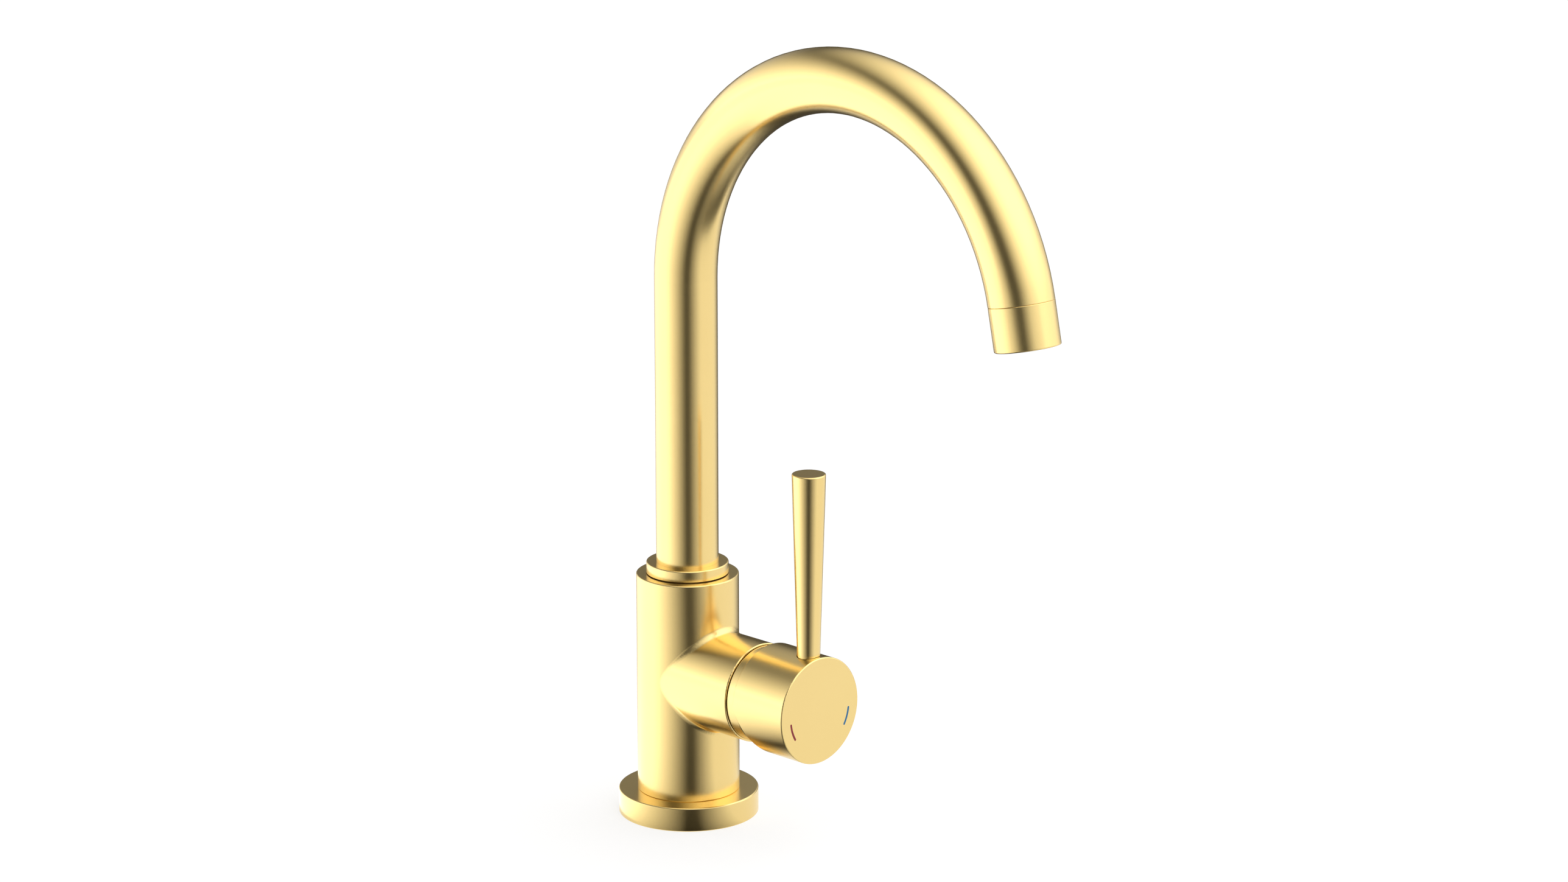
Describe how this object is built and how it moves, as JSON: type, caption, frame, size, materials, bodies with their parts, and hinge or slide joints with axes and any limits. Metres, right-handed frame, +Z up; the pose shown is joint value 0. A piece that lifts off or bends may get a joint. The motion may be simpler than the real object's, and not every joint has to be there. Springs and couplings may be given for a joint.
{
  "type": "basin mixer faucet",
  "caption": "Deck-mounted single-lever mixer faucet with a tall swivelling gooseneck spout, a round front handle with an upright tapered lever, and a satin gold finish.",
  "frame": {"origin": "middle of the foot's underside, on the deck and on the axis of the fixing stud", "axes": "+Z up along the riser, -Y to the front, where the handle and the spout point, +X to the cold side"},
  "size_m": [0.0564, 0.2199, 0.3225],
  "materials": {
    "brushed_gold": "satin gold coating, finely brushed",
    "plain_brass": "turned brass",
    "steel": "plain stainless steel",
    "black_rubber": "matt",
    "white_ceramic": "lapped",
    "pale_plastic": "moulded",
    "grey_plastic": "moulded",
    "gold_plastic": "moulded, gold coloured",
    "red_enamel": "enamel fill",
    "blue_enamel": "enamel fill"
  },
  "bodies": {
    "fixed": {"base_flange": "brushed_gold", "base_gasket": "black_rubber", "valve_body": "brushed_gold", "spout_lock_screw": "steel", "spout_glide_ring": "pale_plastic", "cartridge_base": "pale_plastic", "port_seals": "black_rubber", "fixed_disc": "white_ceramic", "cartridge_shell": "pale_plastic", "cartridge_nut": "plain_brass", "cover_ring": "brushed_gold"},
    "spout": {"spout_spigot": "plain_brass", "spout_o_rings": "black_rubber", "spout_collar": "brushed_gold", "spout_tube": "brushed_gold", "outlet_bush": "plain_brass", "aerator_gasket": "black_rubber", "aerator_insert": "grey_plastic", "aerator_sleeve": "brushed_gold"},
    "rotor": {"cartridge_rotor": "grey_plastic", "rotor_o_ring": "black_rubber", "pivot_pin": "steel"},
    "disc": {"moving_disc": "white_ceramic", "disc_carrier": "grey_plastic"},
    "handle": {"cartridge_stem": "plain_brass", "handle_hub": "brushed_gold", "lever_rod": "brushed_gold", "lever_stud": "steel", "handle_set_screw": "steel", "set_screw_plug": "gold_plastic", "hot_mark": "red_enamel", "cold_mark": "blue_enamel"}
  },
  "joints": [
    {"name": "spout_swivel", "type": "hinge", "parent": "fixed", "child": "spout", "pos_m": [0, 0, 0.1], "axis": [0, 0, 1], "range_deg": [-75, 75]},
    {"name": "lever_turn", "type": "hinge", "parent": "fixed", "child": "rotor", "pos_m": [0, -0.0345, 0.0588], "axis": [0, -1, 0], "range_deg": [-45, 45]},
    {"name": "lever_lift", "type": "hinge", "parent": "rotor", "child": "handle", "pos_m": [0, -0.0345, 0.0588], "axis": [1, 0, 0], "range_deg": [0, 22]},
    {"name": "disc_slide", "type": "slide", "parent": "rotor", "child": "disc", "axis": [0, 0, 1], "range_m": [0, 0.0033]}
  ],
  "couplings": [
    {"joint": "disc_slide", "follows": "lever_lift", "m_per_rad": 0.00833}
  ]
}
